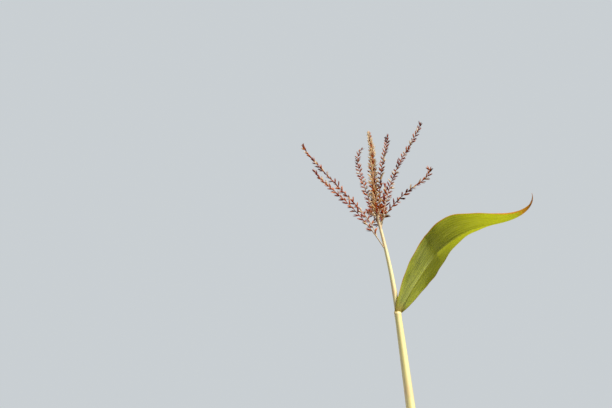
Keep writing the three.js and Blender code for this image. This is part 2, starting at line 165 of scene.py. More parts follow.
# %% The rule for anything that arches
def arch(start, azimuth, rise, end_rise, length, power=1.0, sweep=0.0, hook=0.0, hook_start=0.7, curl=0.0):
    """A path that turns from rise to end_rise, in degrees above level. hook and curl raise its tip again."""
    steps, curl_start = 96, 0.72

    def directions(share):
        late = np.maximum(0, (share - hook_start) / (1 - hook_start))
        latest = np.maximum(0, (share - curl_start) / (1 - curl_start))
        up = np.radians(mix(rise, end_rise, share**power) + hook * late**2 + curl * latest)
        heading = np.radians(azimuth + sweep * share)
        along = np.stack([np.cos(up) * np.cos(heading), np.cos(up) * np.sin(heading), np.sin(up)], -1)
        side = np.stack([np.sin(heading), -np.cos(heading), 0 * heading], -1)
        return along, side, np.cross(side, along)

    middles = (np.arange(steps) + 0.5) / steps
    moves = directions(middles)[0] * length / steps
    points = np.vstack([start, start + np.cumsum(moves, axis=0)])
    marks = np.linspace(0, 1, steps + 1)

    def at(share):
        share = np.asarray(share, float)
        point = np.stack([np.interp(share, marks, points[:, i]) for i in range(3)], -1)
        return (point, *directions(share))

    return at


# %% [markdown]
# A few helpers make the meshes. A sheet starts as a flat grid and a limb as the same grid rolled into a
# tube, and the rule then puts each corner in its place. A grid is used because its UV map comes with it
# and then runs along and across the finished leaf or limb, which the veins need. Small things that
# repeat, such as spikelets, are one small mesh copied hundreds of times into one piece by arithmetic,
# because that many objects would be slow to join.

# %% Helpers that make meshes
SAME_PLACE = 1e-6  # corners no further apart than this are merged
SHARP_EDGE = 50  # edges sharper than this are not smoothed over, in degrees


def grid(name, columns, rows, place):
    """A grid whose corners go where place(across, share) puts them: across -1 to 1, share 0 to 1."""
    bpy.ops.object.select_all(action="DESELECT")
    bpy.ops.mesh.primitive_grid_add(x_subdivisions=columns, y_subdivisions=rows, size=2)
    piece = bpy.context.object
    piece.name = piece.data.name = name
    flat = np.empty(len(piece.data.vertices) * 3)
    piece.data.vertices.foreach_get("co", flat)
    flat = flat.reshape(-1, 3)
    places = place(flat[:, 0], (flat[:, 1] + 1) / 2)
    piece.data.vertices.foreach_set("co", np.asarray(places, float).ravel())
    piece.data.update()
    return piece


def sheet(name, columns, rows, place, thickness):
    """A thin closed sheet along a grid."""
    piece = grid(name, columns, rows, place)
    wall = piece.modifiers.new("thickness", "SOLIDIFY")
    wall.thickness = thickness
    wall.offset = 0
    bpy.ops.object.modifier_apply(modifier=wall.name)
    bpy.ops.object.shade_smooth()
    return piece


def face_outwards(piece):
    bpy.ops.object.select_all(action="DESELECT")
    piece.select_set(True)
    bpy.context.view_layer.objects.active = piece
    bpy.ops.object.mode_set(mode="EDIT")
    bpy.ops.mesh.select_all(action="SELECT")
    bpy.ops.mesh.normals_make_consistent(inside=False)
    bpy.ops.object.mode_set(mode="OBJECT")
    bpy.ops.object.shade_smooth_by_angle(angle=math.radians(SHARP_EDGE))


def rolled(name, sides, rows, place):
    """A closed limb: a grid rolled up, its seam merged and its two ends filled."""
    piece = grid(name, sides, rows, place)
    bpy.ops.object.mode_set(mode="EDIT")
    bpy.ops.mesh.select_all(action="SELECT")
    bpy.ops.mesh.remove_doubles(threshold=SAME_PLACE)
    bpy.ops.mesh.select_all(action="SELECT")
    bpy.ops.mesh.fill_holes(sides=0)
    bpy.ops.object.mode_set(mode="OBJECT")
    face_outwards(piece)
    return piece


def round_path(path_at, share, turn, radius):
    """The place at an angle and a distance from a path. The angle starts at the path's side."""
    point, _, side, above = path_at(share)
    around = side * np.cos(turn)[:, None] + above * np.sin(turn)[:, None]
    return point + around * radius[:, None]


def limb(name, path_at, radius_at, sides, rows):
    """A round limb along a path, with a radius at each share of it."""

    def place(across, share):
        return round_path(path_at, share, np.pi * across, radius_at(share))

    return rolled(name, sides, rows, place)


# %% [markdown]
# Three more helpers finish a piece: one joins several meshes to one, one makes a mesh from arrays, and
# one gives the piece its material, hangs it on the plant's body and hides the solids of the frame that it
# stands for. The whole plant is one body, which the frame calls root.

# %% Helpers that finish a piece
def joined(name, pieces):
    bpy.ops.object.select_all(action="DESELECT")
    for piece in pieces:
        piece.select_set(True)
    bpy.context.view_layer.objects.active = pieces[0]
    bpy.ops.object.join()
    pieces[0].name = pieces[0].data.name = name
    return pieces[0]


def from_arrays(name, corners, faces, materials, choice=None):
    """A piece from arrays of corners and faces. choice picks a material for each face."""
    mesh = bpy.data.meshes.new(name)
    mesh.from_pydata(np.asarray(corners).tolist(), [], faces)
    for material in materials:
        mesh.materials.append(material)
    if choice is not None:
        mesh.polygons.foreach_set("material_index", choice)
    piece = bpy.data.objects.new(name, mesh)
    bpy.context.collection.objects.link(piece)
    face_outwards(piece)
    return piece


def dressed(piece, slot, material, *nodes):
    """Finishes a piece. nodes are the frame's solids that it stands for."""
    if material:
        piece.data.materials.append(material)
    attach(piece, "root")
    if nodes:
        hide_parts(*nodes)
    print(piece.name, len(piece.data.polygons), "faces,", round(max(piece.dimensions), 3), "m")


# %% [markdown]
# Colours are written as the hex values that a colour picker shows, and one function turns them to the
# linear values that the shader needs. Another adds a node with its settings and links, and it carries
# every material below. With it, a third lays colours over one another, each where its own pattern shows
# it.

# %% Helpers that make materials
def colour(hex_value):
    """An sRGB hex value as linear red, green, blue and alpha."""
    parts = [int(hex_value[i : i + 2], 16) / 255 for i in (1, 3, 5)]
    linear = [p / 12.92 if p <= 0.04045 else ((p + 0.055) / 1.055) ** 2.4 for p in parts]
    return (*linear, 1.0)


def add(tree, kind, links=None, **settings):
    """Adds a shader node. Each input, by name or number, gets a value, a hex colour, a socket or a node."""
    node = tree.nodes.new("ShaderNode" + kind)
    for name, value in settings.items():
        setattr(node, name, value)
    in_use = [socket for socket in node.inputs if socket.enabled]
    for name, value in (links or {}).items():
        socket = in_use[name] if isinstance(name, int) else next(s for s in in_use if s.name == name)
        if isinstance(value, bpy.types.Node):
            value = next(s for s in value.outputs if s.enabled)
        if isinstance(value, bpy.types.NodeSocket):
            tree.links.new(value, socket)
        else:
            socket.default_value = colour(value) if isinstance(value, str) else value
    return node


def ramp(low, high, from_value, to_value):
    """The inputs of a Map Range node that goes from one value at low to another at high."""
    return {"From Min": low, "From Max": high, "To Min": from_value, "To Max": to_value}


def layered(tree, tint, *layers):
    """Lays colours over a tint. A layer is a colour, the pattern that shows it, and the pattern's ramp."""
    for layer, pattern, marks in layers:
        showing = add(tree, "MapRange", {"Value": pattern, **ramp(*marks)})
        tint = add(tree, "Mix", {"Factor": showing, "A": tint, "B": layer}, data_type="RGBA")
    return tint


def new_material(name):
    material = bpy.data.materials.new(name)
    material.use_nodes = True
    material.node_tree.nodes.clear()
    return material, material.node_tree


def end_in_tissue(tree, base, through, share_through, relief, distance, roughness, shine):
    """Ends a material of plant tissue: it reflects light and, where it is thin, lets some through."""
    bump = add(tree, "Bump", {"Height": relief, "Distance": distance, "Strength": 0.6})
    uneven = 0.08  # the grooves are this much rougher than the mean, and the ridges as much smoother
    rough = {"Value": relief, "To Min": roughness + uneven, "To Max": roughness - uneven}
    surface = {
        "Base Color": base,
        "Roughness": add(tree, "MapRange", rough),
        "Normal": bump,
        "Specular IOR Level": shine,
    }
    shader = add(tree, "BsdfPrincipled", surface)
    if share_through:
        glow = add(tree, "BsdfTranslucent", {"Color": through, "Normal": bump})
        shader = add(tree, "MixShader", {0: share_through, 1: shader, 2: glow})
    add(tree, "OutputMaterial", {"Surface": shader})


# %% [markdown]
# A maize leaf is thin tissue with a dull wax on it. Its veins run side by side from collar to tip, the
# midrib is a pale band, and the margins of a ripening leaf dry to orange first. To the eye that gives
# fine pale streaks along the blade, a soft sheen, and a bright yellow green wherever the lamp stands
# behind it. The veins of a real blade are 1.2 mm apart, too fine to show, so every fourth one is drawn.
# They are placed by the blade's own UV map, so that they follow it round its arch, and slow changes of
# tint are placed by Object coordinates.

# %% The markings of a leaf blade
VEIN_SPACING = 0.0048
STREAK_WIDTH = 0.0048  # real streaks are 1 to 3 mm wide, too fine to show from the camera
STREAKS_ALONG = 9  # in one blade, so that each is 10 to 20 times as long as it is wide
TINT_PATCHES = 12.0  # in a metre, each about 80 mm wide
WAVE_BANDS = 10 / math.pi  # in a wave texture of scale 1


def leaf_markings(tree, width, seed):
    """The patterns that run along a blade, each as a number from 0 to 1."""
    uv = add(tree, "UVMap", uv_map="UVMap")
    parts = add(tree, "SeparateXYZ", {0: uv})
    share = parts.outputs["Y"]
    centred = add(tree, "Math", {0: parts.outputs["X"], 1: 2.0, 2: -1.0}, operation="MULTIPLY_ADD")
    edge = add(tree, "Math", {0: centred}, operation="ABSOLUTE")
    stretch = (width / STREAK_WIDTH, STREAKS_ALONG, 1)
    drawn = add(tree, "Mapping", {"Vector": uv, "Location": (seed, seed, 0), "Scale": stretch})
    streaks = add(tree, "TexNoise", {"Vector": drawn, "Scale": 1.0, "Detail": 3.0})
    veins = add(tree, "TexWave", {"Vector": uv, "Scale": width / VEIN_SPACING / WAVE_BANDS})
    place = add(tree, "TexCoord").outputs["Object"]
    patches = add(tree, "TexNoise", {"Vector": place, "Scale": TINT_PATCHES, "Detail": 4.0})
    return share, edge, streaks, veins, patches


# %% [markdown]
# The colour is laid on in the order in which the leaf ages. First comes green that turns to yellow in
# patches, towards the tip and towards the margins. The dark streaks, the pale veins, the midrib and the
# collar follow.

# %% The living tissue of a leaf blade
def living_tissue(tree, markings, green, yellow, ripe):
    """ripe is from 0, all green, to 1, all yellow."""
    share, edge, streaks, veins, patches = markings
    by_patch = add(tree, "MapRange", {"Value": patches, **ramp(0.3, 0.7, ripe - 0.3, ripe + 0.3)})
    by_edge = add(tree, "MapRange", {"Value": edge, **ramp(0.5, 1.1, 0.0, 0.45)})
    by_length = add(tree, "MapRange", {"Value": share, **ramp(0.42, 0.9, 0.0, 0.6)})
    sides = add(tree, "Math", {0: by_patch, 1: by_edge}, operation="ADD")
    aged = add(tree, "Math", {0: sides, 1: by_length}, operation="ADD", use_clamp=True)
    tissue = add(tree, "Mix", {"Factor": aged, "A": green, "B": yellow}, data_type="RGBA")

    darker = add(tree, "Mix", {"Factor": 0.6, "A": tissue, "B": "#33480c"}, data_type="RGBA")
    tissue = layered(tree, tissue, (darker, streaks, (0.46, 0.66, 0.0, 0.70)))
    pale_streak = add(tree, "MapRange", {"Value": streaks, **ramp(0.48, 0.30, 0.0, 0.70)})
    on_vein = add(tree, "MapRange", {"Value": veins, **ramp(0.60, 0.98, 0.0, 0.45)})
    paler = add(tree, "Math", {0: pale_streak, 1: on_vein}, operation="MAXIMUM")
    tissue = add(tree, "Mix", {"Factor": paler, "A": tissue, "B": "#c9cc86"}, data_type="RGBA")

    narrowing = add(tree, "MapRange", {"Value": share, **ramp(0.0, 1.0, 1.0, 3.4)})
    from_midrib = add(tree, "Math", {0: edge, 1: narrowing}, operation="MULTIPLY")
    midrib = ("#c3c67c", from_midrib, (0.04, 0.10, 0.85, 0.0))
    collar = ("#c7a25e", share, (0.012, 0.05, 0.85, 0.0))
    return layered(tree, tissue, midrib, collar)


# %% [markdown]
# The parts that have dried come last: a thin line along each margin, and the tip, first yellow orange and
# then brown. The whole is then put together. Light that passes through living tissue comes out far more
# yellow than the light that it reflects, and the veins stand out a little, which breaks up the sheen.

# %% The finish of a leaf blade
def leaf_finish(
    name, measures, green, yellow, ripe, dry_share, share_through=0.40, drying="#cdb45e", dead="#a8743c"
):
    """dry_share is the dried share of the length, from the tip. drying and dead are its colours there."""
    material, tree = new_material(name)
    markings = leaf_markings(tree, *measures)
    share, edge, streaks, veins = markings[:4]
    tissue = living_tissue(tree, markings, green, yellow, ripe)

    near_tip = add(tree, "MapRange", {"Value": share, **ramp(0.70, 1.0, 0.0, 0.45)})
    wider = add(tree, "Math", {0: edge, 1: near_tip}, operation="ADD")
    ragged_edge = add(tree, "Math", {0: streaks, 1: 0.05, 2: wider}, operation="MULTIPLY_ADD")
    on_margin = add(tree, "MapRange", {"Value": ragged_edge, **ramp(0.985, 1.01, 0.0, 1.0)})
    ragged_tip = add(tree, "Math", {0: streaks, 1: 0.12, 2: share}, operation="MULTIPLY_ADD")
    tip_starts = ramp(1.02 - dry_share, 1.06 - dry_share, 0.0, 1.0)
    at_tip = add(tree, "MapRange", {"Value": ragged_tip, **tip_starts})
    dry = add(tree, "Math", {0: on_margin, 1: at_tip}, operation="MAXIMUM")
    dying = layered(tree, drying, (dead, ragged_tip, (1.06 - dry_share, 1.06, 0.0, 1.0)))
    base = add(tree, "Mix", {"Factor": dry, "A": tissue, "B": dying}, data_type="RGBA")

    vivid = add(tree, "Mix", {"Factor": 0.85, "A": tissue, "B": "#eef000"}, data_type="RGBA")
    through = add(tree, "Mix", {"Factor": dry, "A": vivid, "B": "#f2cc62"}, data_type="RGBA")
    ridges = veins.outputs["Fac"]
    relief = add(tree, "Math", {0: streaks, 1: 0.6, 2: ridges}, operation="MULTIPLY_ADD")
    end_in_tissue(tree, base, through, share_through, relief, 0.0004, 0.46, 0.4)
    return material


# %% [markdown]
# Sheaths, the stalk and husks are the same tissue, thicker and riper: pale straw yellow, with faint green
# lengthwise stripes, dull stains and a waxy surface. The stripes are noise drawn out lengthwise along the
# UV map. One finish serves for all of them, with other colours and another number of stripes.

# %% The finish of sheaths, stalk and husks
STAINS, SPECKS = 22.0, 420.0  # in a metre: stains about 45 mm wide, and specks of 2.4 mm


def striped(name, tints, stripes_round, strength, share_through, roughness, low_tint=None):
    """tints: pale, stripe and stain. low_tint is what the lowest 10 cm above the ground turn to.

    stripes_round is how many stripes go round: one every 1 to 4 mm, as finer ones would not show.
    """
    pale, stripe, stain = tints
    material, tree = new_material(name)
    uv = add(tree, "UVMap", uv_map="UVMap")
    place = add(tree, "TexCoord").outputs["Object"]
    drawn = add(tree, "Mapping", {"Vector": uv, "Scale": (stripes_round, 1.2, 1)})
    lines = add(tree, "TexNoise", {"Vector": drawn, "Scale": 1.0, "Detail": 4.0})
    patches = add(tree, "TexNoise", {"Vector": place, "Scale": STAINS, "Detail": 3.0})
    specks = add(tree, "TexNoise", {"Vector": place, "Scale": SPECKS, "Detail": 2.0})
    layers = [
        (stripe, lines, (0.42, 0.66, 0.0, strength)),
        (stain, patches, (0.50, 0.75, 0.0, 0.6)),
        (stain, specks, (0.64, 0.74, 0.0, 0.4)),
    ]
    if low_tint:
        height = add(tree, "SeparateXYZ", {0: place}).outputs["Z"]
        layers.append((low_tint, height, (0.02, 0.11, 0.85, 0.0)))
    tint = layered(tree, pale, *layers)
    relief = add(tree, "Math", {0: specks, 1: 0.2, 2: lines}, operation="MULTIPLY_ADD")
    end_in_tissue(tree, tint, tint, share_through, relief, 0.0005, roughness, 0.4)
    return material


rind = striped("waxy maize rind", ("#ddd19c", "#cfc97e", "#d9b088"), 22, 0.6, 0.0, 0.42, "#776839")
upper_sheath = striped("pale sheath tissue", ("#ecdca2", "#d4d076", "#e4ba92"), 20, 0.75, 0.08, 0.48)
middle_sheath = striped("green sheath tissue", ("#b0b06e", "#788a3a", "#a5814d"), 26, 0.85, 0.08, 0.50)
dry_sheath = striped("dry sheath tissue", ("#ae9868", "#8e7443", "#684728"), 26, 0.8, 0.10, 0.62)
ligule_skin = striped("ligule membrane", ("#ae8a5a", "#875930", "#66351d"), 40, 0.6, 0.30, 0.60)
husk_tissue = striped("papery husk tissue", ("#b8b17a", "#8a9445", "#9f7c49"), 40, 0.8, 0.10, 0.56)
print("finishes so far", [material.name for material in bpy.data.materials])

# %% [markdown]
# The stalk's real surface is a hard waxy rind, faintly ribbed lengthwise, with a swollen ring at each
# joint. Two more rings near the foot carry the brace roots and the buds of roots that never grew. A
# cylinder would do for its body, but the rings and the bow need corners at many heights, so the stalk is
# a long grid rolled up, with its radius worked out at each corner.

# %% The stalk
BRACE_HEIGHTS = (0.030, 0.082)
RING, RING_REACH = 0.0013, 0.0042  # how far a joint stands out, and half its height
ROOT_RING, ROOT_RING_REACH = 0.0012, 0.0055
BUDS_ROUND, BUD = 15, 0.0011


def stalk_place(across, share):
    height = NECK_HEIGHT * share
    turn = np.pi * across
    radius = stalk_radius(height)
    for leaf in range(LEAF_COUNT):
        ring = joint_height(leaf) - 0.004
        radius = radius + swell(height, RING, ring, RING_REACH, 4)
        radius = radius - swell(height, 0.0004, ring + 0.007, 0.003)
    for whorl in BRACE_HEIGHTS:
        ring = whorl + 0.004
        radius = radius + swell(height, ROOT_RING, ring, ROOT_RING_REACH, 4)
        buds = np.maximum(0, np.cos(BUDS_ROUND * turn + whorl * 900)) ** 3
        radius = radius + buds * swell(height, BUD, ring, 0.0028)
    ribs = 0.00010 * np.cos(18 * turn) + 0.00006 * np.cos(31 * turn + 1)
    return round_axis(height, turn, radius + ribs * smooth(0, 0.01, height))


dressed(rolled("jointed_stalk", 96, 640, stalk_place), "stalk", rind, "stalk")

# %% [markdown]
# What a leaf measures depends on its place on the stalk. The leaves stand in two ranks that drift round,
# the longest grow at the middle, and older leaves hang lower. The top one, the flag leaf, is short, broad
# and turned on edge, and its numbers are its own: it is wider on one side of its bend, has a crease
# across it there, and its tip is drawn out.

# %% What each leaf measures
def leaf_name(leaf):
    return "flag_leaf" if leaf == LEAF_COUNT - 1 else f"leaf_{leaf + 1:02d}"


FLAG_LEAF = dict(
    collar=FLAG_COLLAR, azimuth=FLAG_AZIMUTH, rise=56, end_rise=-90, power=2.4, sweep=-24, hook=170,
    hook_start=0.63, curl=12, length=0.457, twist=61, end_twist=-35, fold=12, end_fold=27, width=0.099,
    widest=0.46, foot_width=0.2, tip_power=1.3, ruffle=0.0, waves=2, phase=0.0, left=(0.21, 0.519, 0.089),
    right=(-0.21, 0.587, 0.097), right_low=(0.33, 0.364, 0.136), drawn_tip=0.33,
    crease=(0.0065, 0.385, 0.05, 0.12), right_fold=(2, 0.15, 0.25),
)


def leaf_spec(leaf):
    """The measures of a leaf, counted from the ground. Angles are in degrees."""
    below = LEAF_COUNT - 1 - leaf
    if below == 0:
        return FLAG_LEAF
    from_middle = (leaf - EAR_LEAF) / 5
    chance = [float(seeded(leaf + offset)) for offset in (1, 21, 41, 61, 81, 101, 121, 141, 161)]
    return dict(
        collar=collar_height(leaf),
        azimuth=FLAG_AZIMUTH + (180 + RANK_DRIFT) * below + 16 * (chance[0] - 0.5),
        rise=LOW_RISE.get(leaf, mix(50, 62, chance[1])),
        end_rise=-50 if below == 1 else mix(-62, -80, chance[2]) - 6 * below / (LEAF_COUNT - 1),
        power=1 if below == 1 else mix(1.15, 1.6, chance[3]),
        sweep=34 * (chance[4] - 0.5), hook=0, hook_start=0.7, curl=0,
        length=LONGEST_LEAF * (1 - 0.4 * from_middle**2),
        twist=14 * (chance[5] - 0.5), end_twist=50 * (chance[6] - 0.5), fold=34, end_fold=8,
        width=WIDEST_LEAF * (1 - 0.3 * ((leaf - 6) / 6) ** 2), widest=0.36, foot_width=0.42, tip_power=0.8,
        ruffle=0.007, waves=4 + math.floor(2 * chance[7]), phase=2 * math.pi * chance[8],
        left=(0, 0.5, 0.1), right=(0, 0.5, 0.1), right_low=(0, 0.3, 0.1), drawn_tip=0.0,
        crease=(0, 0.5, 0.1, 0.1), right_fold=(0, 0.5, 0.1),
    )


def foot_heading(spec):
    return math.radians(spec["azimuth"] - spec["twist"])


LEAVES = [leaf_spec(leaf) for leaf in range(LEAF_COUNT)]
print("leaf lengths", [round(spec["length"], 3) for spec in LEAVES])

# %% [markdown]
# A sheath is the lower half of a leaf: a thin wall wrapped once round the stalk, whose two margins
# overlap on the side away from the blade. A plain tube would lose that overlap, so it is a sheet rolled a
# little more than one full turn, one margin lying just outside the other. It swells over its joint and
# opens a little at the collar.

# %% The sheaths
OVERLAP = 24  # by how many degrees each margin passes the middle of the back
OUTER_MARGIN = 0.0008  # by how much one margin lies outside the other
DRY_SHEATHS, GREEN_SHEATHS = 3, 8  # the lowest three are dry, and green ones reach up to the eighth


def sheath_place(spec, foot):
    half_turn = math.radians(180 + OVERLAP)

    def place(across, share):
        turn = across * half_turn
        back = smooth(math.radians(100), half_turn, np.abs(turn))
        height = mix(foot + CLEARANCE, spec["collar"] - 0.004 * back, share)
        radius = stalk_radius(height) + CLEARANCE + 0.0003 + OUTER_MARGIN * (across + 1) / 2
        radius = radius + swell(height, 0.0007, foot, 0.010)
        radius = radius + 0.0007 * smooth(spec["collar"] - 0.016, spec["collar"], height)
        radius = radius + 0.00008 * np.cos(26 * turn)
        return round_axis(height, foot_heading(spec) - turn, radius)

    return place


for leaf, spec in enumerate(LEAVES):
    name = leaf_name(leaf)
    tube = sheet(name + "_rolled_sheath", 72, 40, sheath_place(spec, joint_height(leaf)), 0.0005)
    tissue = dry_sheath if leaf < DRY_SHEATHS else middle_sheath if leaf < GREEN_SHEATHS else upper_sheath
    dressed(tube, "sheath", tissue, name + "_sheath")

# %% [markdown]
# A blade is a long strap, folded up along its midrib near the collar and nearly flat further out. The
# midrib stands out below as a keel, and the margins of the big leaves are longer than the middle, so they
# ruffle. The blade could be a curve with a bevel, but then its width could not ruffle, so it is a sheet
# 0.4 mm thick placed by the rule. Its first few centimetres are drawn in to the rim of the sheath, so
# that blade and sheath are one leaf.

# %% The outline and midrib of a blade
def half_width(spec, share, across):
    rising = mix(spec["foot_width"], 1, np.sin(np.pi / 2 * np.minimum(1, share / spec["widest"])))
    late = np.clip((share - spec["widest"]) / (1 - spec["widest"]), 0, 1)
    falling = np.cos(np.pi / 2 * late ** (1 / spec["tip_power"]))
    wide = np.maximum(np.where(share < spec["widest"], rising, falling), 0.02)
    right = swell(share, *spec["right"]) + swell(share, *spec["right_low"])
    uneven = 1 + np.where(across > 0, swell(share, *spec["left"]), right)
    return spec["width"] / 2 * wide * uneven * (1 - spec["drawn_tip"] * smooth(0.89, 1.0, share))


def leaf_path(spec):
    out = sheath_radius(spec["collar"]) - SHEATH_WALL / 2
    start = round_axis(spec["collar"], foot_heading(spec), out) + [0, 0, 0.0015]
    bend = ("azimuth", "rise", "end_rise", "length", "power", "sweep", "hook", "hook_start", "curl")
    return arch(start, **{key: spec[key] for key in bend})


# %% [markdown]
# The relief of a blade is added as lift, at right angles to it: the fold that makes a gutter of it, the
# slow ruffle and a finer one on it, the crease, and the keel below. The keel stands out by only 2 mm, but
# it catches the light along the whole leaf. The ribs between the veins are finer still, and are left to
# the material.

# %% The relief of a blade
WRAP = 105  # how far round the stalk each side of a blade's foot reaches, in degrees
FOOT_SHARE = 0.055  # of the blade's length, over which it leaves the sheath's rim
KEEL_DEPTH, KEEL_REACH = 0.0022, 0.0032


def blade_lift(spec, share, across, half, fold, seed):
    edge = np.abs(across)
    full = np.sin(np.pi * np.minimum(1, share * 1.25))
    lag = np.where(across > 0, 1.9, 0.0)
    lift = half * np.sin(fold) * edge
    slow = np.sin(2 * np.pi * spec["waves"] * share + spec["phase"] + lag)
    finer = np.sin(2 * np.pi * (spec["waves"] * 3.3 + 3) * share + seed + lag)
    lift = lift + spec["ruffle"] * full * edge**2 * slow
    lift = lift + (0.0009 + spec["ruffle"] * 0.12) * full * edge**5 * finer
    amount, middle, below, beyond = spec["crease"]
    reach = np.where(share < middle, below, beyond)
    lift = lift + amount * np.exp(-np.abs(share - middle) / reach) * smooth(-1.0, -0.2, across)
    return lift - (1 - share) * swell(across * half, KEEL_DEPTH, 0, KEEL_REACH)


def blade_place(spec, seed):
    path_at = leaf_path(spec)

    def place(across, share):
        point, _, side, above = path_at(share)
        twist = np.radians(mix(spec["twist"], spec["end_twist"], share))[:, None]
        level = side * np.cos(twist) + above * np.sin(twist)
        face = above * np.cos(twist) - side * np.sin(twist)
        fold = mix(spec["fold"], spec["end_fold"], np.minimum(1, share / 0.6))
        fold = np.radians(fold + (across < 0) * swell(share, *spec["right_fold"]))
        half = half_width(spec, share, across)
        lift = blade_lift(spec, share, across, half, fold, seed)
        outer = point + level * (across * half * np.cos(fold))[:, None] + face * lift[:, None]
        rim_height = spec["collar"] - 0.0012 + 0 * across
        rim_radius = sheath_radius(rim_height) + 0.0004
        rim = round_axis(rim_height, foot_heading(spec) - across * math.radians(WRAP), rim_radius)
        leaving = smooth(0, FOOT_SHARE, share)[:, None]
        return rim * (1 - leaving) + outer * leaving

    return place


# %% [markdown]
# The youngest leaf, the flag leaf, is a pale grey olive, its own olive paled by painted sheen of its waxy
# underside, and turns yellow green past its bend. Further down the leaves are older: the middle ones are
# the greenest, and the lowest three have dried to straw. So each leaf gets its own finish from the one
# function, with its colours chosen by its place on the stalk.

# %% Grow and finish the blades
LEAF_TINTS = [  # green, yellow, ripe and dry_share of each leaf, counted from the ground
    ("#8a7a3a", "#c9a860", 0.95, 0.45),
    ("#8d8440", "#c6a65a", 0.80, 0.36),
    ("#7f8636", "#bfa54c", 0.55, 0.26),
    ("#66782a", "#b3a63e", 0.30, 0.18),
    ("#567025", "#a5a437", 0.18, 0.12),
    ("#4f6c22", "#9aa232", 0.12, 0.09),
    ("#4d6b21", "#97a130", 0.10, 0.08),
    ("#506e22", "#9aa430", 0.12, 0.08),
    ("#567224", "#a0a832", 0.15, 0.08),
    ("#5f7829", "#a6aa34", 0.20, 0.09),
    # the flag leaf's pale grey olive is partly its own olive and partly painted sheen of its waxy underside
    ("#aab46c", "#bcc22e", 0.12, 0.13),
]
FLAG_TINTS = dict(share_through=0.60, drying="#f0b84a", dead="#b4582a")

for leaf, spec in enumerate(LEAVES):
    name = leaf_name(leaf)
    measures = (spec["width"], 3.1 * leaf)
    more = FLAG_TINTS if leaf == LEAF_COUNT - 1 else {}
    tissue = leaf_finish(f"maize leaf tissue {leaf + 1:02d}", measures, *LEAF_TINTS[leaf], **more)
    blade = sheet(name + "_strap", 40, 180, blade_place(spec, 2.3 * leaf), 0.0004)
    solids = [node for node in (name + "_blade", name + "_base", name + "_tip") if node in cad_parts]
    dressed(blade, "leaf_blade", tissue, *solids)

# %% [markdown]
# Where blade and sheath meet, a small stiff membrane called the ligule stands up against the stalk and
# keeps the rain out. It is a short, thin sheet round most of the stalk, with a torn upper edge.

# %% The ligules
LIGULE_HEIGHT, LIGULE_WRAP = 0.0065, 150  # the wrap is how far it reaches round each way, in degrees


def ligule_place(spec):
    def place(across, share):
        torn = 0.0012 * seeded(np.round(across * 40) + spec["collar"] * 1000) * share
        height = spec["collar"] - 0.002 + share * LIGULE_HEIGHT * (1 - 0.5 * across**2) - torn
        radius = stalk_radius(height) + 0.0005 + 0.0004 * share
        return round_axis(height, foot_heading(spec) - across * math.radians(LIGULE_WRAP), radius)

    return place


for leaf, spec in enumerate(LEAVES):
    ligule = sheet(leaf_name(leaf) + "_ligule", 40, 4, ligule_place(spec), 0.0002)
    dressed(ligule, "sheath", ligule_skin)

# %% [markdown]
# The tassel is the plant's male flower: one upright spike and branches that arch out below it, all
# crowded with spikelets. Each spikelet is two stiff, boat-shaped scales that open at the tip. A sphere or
# a cone would read as a bead, so one spikelet is modelled from two closed scales of a few faces, and
# copied.

# %% One spikelet
SPIKELET_LENGTH, SPIKELET_WIDTH = 0.0155, 0.0034


def scale_corners(flank):
    """One scale, foot at the origin and tip along +Z: a pole, four rings of five corners, and a pole."""
    corners = [(0.0001 * flank, 0, -0.0004)]
    for share in (0.10, 0.32, 0.60, 0.84):
        along = share * SPIKELET_LENGTH
        full = math.sin(math.pi * share**0.75) ** 0.8 * SPIKELET_WIDTH / 2
        opening = 0.10 * share**2 * SPIKELET_LENGTH + 0.0002
        for turn in np.radians([-82, -30, 30, 82]):
            corners.append((flank * (opening + full * math.cos(turn)), full * math.sin(turn), along))
        corners.append((flank * (opening + full * 0.30), 0, along))
    corners.append((flank * 0.13 * SPIKELET_LENGTH, 0, SPIKELET_LENGTH))
    return corners


def scale_faces(offset):
    faces = []
    for side in range(5):
        after = (side + 1) % 5
        faces.append((0, 1 + after, 1 + side))
        for low in (1, 6, 11):
            faces.append((low + side, low + after, low + 5 + after, low + 5 + side))
        faces.append((16 + side, 16 + after, 21))
    return [tuple(corner + offset for corner in face) for face in faces]


spikelet_corners = np.array(scale_corners(1) + scale_corners(-1))
spikelet_faces = scale_faces(0) + scale_faces(22)
print("one spikelet", len(spikelet_corners), "corners,", len(spikelet_faces), "faces")

# %% [markdown]
# The scales are dry and papery, with a dull sheen. Some are still straw, and others have browned to
# orange, russet and umber, so four plain finishes are dealt out spikelet by spikelet. Each has only faint
# specks of its own, because a larger pattern would be lost on pieces so small.

# %% The finish of spikelets
GLUME_SPECKS = 300.0  # in a metre. Real specks are 0.5 mm wide, and are drawn 3 mm wide to show


def papery(name, base, dark):
    material, tree = new_material(name)
    place = add(tree, "TexCoord").outputs["Object"]
    specks = add(tree, "TexNoise", {"Vector": place, "Scale": GLUME_SPECKS, "Detail": 2.0})
    tint = layered(tree, base, (dark, specks, (0.40, 0.66, 0.0, 1.0)))
    end_in_tissue(tree, tint, tint, 0.30, specks, 0.0002, 0.56, 0.35)
    return material


GLUMES = [
    papery("straw glume", "#fff0cc", "#ecc792"),
    papery("orange glume", "#e08428", "#bd5016"),
    papery("russet glume", "#b84210", "#7e2406"),
    papery("umber glume", "#83300e", "#511b07"),
]
print("spikelet finishes", [glume.name for glume in GLUMES])


